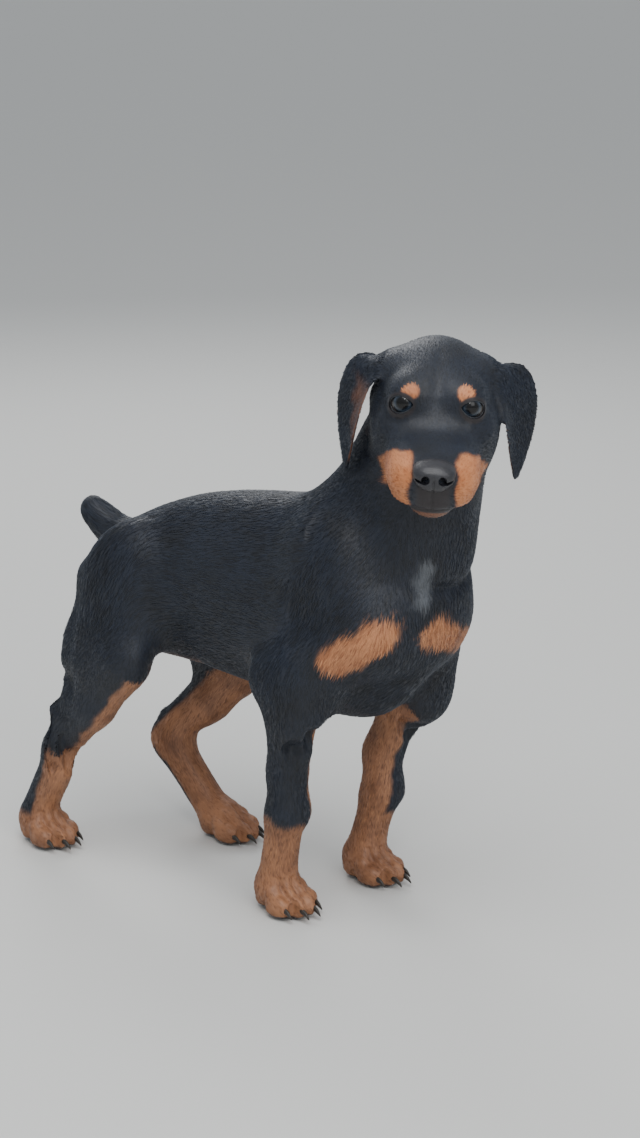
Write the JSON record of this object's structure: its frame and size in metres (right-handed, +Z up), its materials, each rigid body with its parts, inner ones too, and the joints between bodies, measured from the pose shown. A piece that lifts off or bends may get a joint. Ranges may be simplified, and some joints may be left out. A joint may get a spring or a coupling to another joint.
{
  "type": "doberman pinscher puppy figure",
  "caption": "Life-size young dog of a short-coated breed, standing square with its head turned aside, drop ears and a short docked tail.",
  "frame": {"origin": "on the floor, under the middle of the bounding box", "axes": "+Z up, +X the way the body faces, +Y towards the puppy's left side"},
  "size_m": [0.434, 0.1694, 0.4317],
  "materials": {
    "coat": "short black coat with a soft blue-grey sheen",
    "tan": "short tan coat",
    "nose": "damp dark grey nose leather",
    "eye": "wet dark eye"
  },
  "bodies": {
    "root": {"torso": "coat", "neck": "coat", "tail": "coat", "head": "coat", "lower_jaw": "tan", "nose": "nose", "right_eye": "eye", "right_ear": "coat", "left_eye": "eye", "left_ear": "coat", "right_shoulder": "coat", "right_forearm": "coat", "right_front_paw": "tan", "left_shoulder": "coat", "left_forearm": "coat", "left_front_paw": "tan", "right_thigh": "coat", "right_lower_leg": "coat", "right_hind_foot": "tan", "left_thigh": "coat", "left_lower_leg": "coat", "left_hind_foot": "tan"}
  },
  "joints": []
}
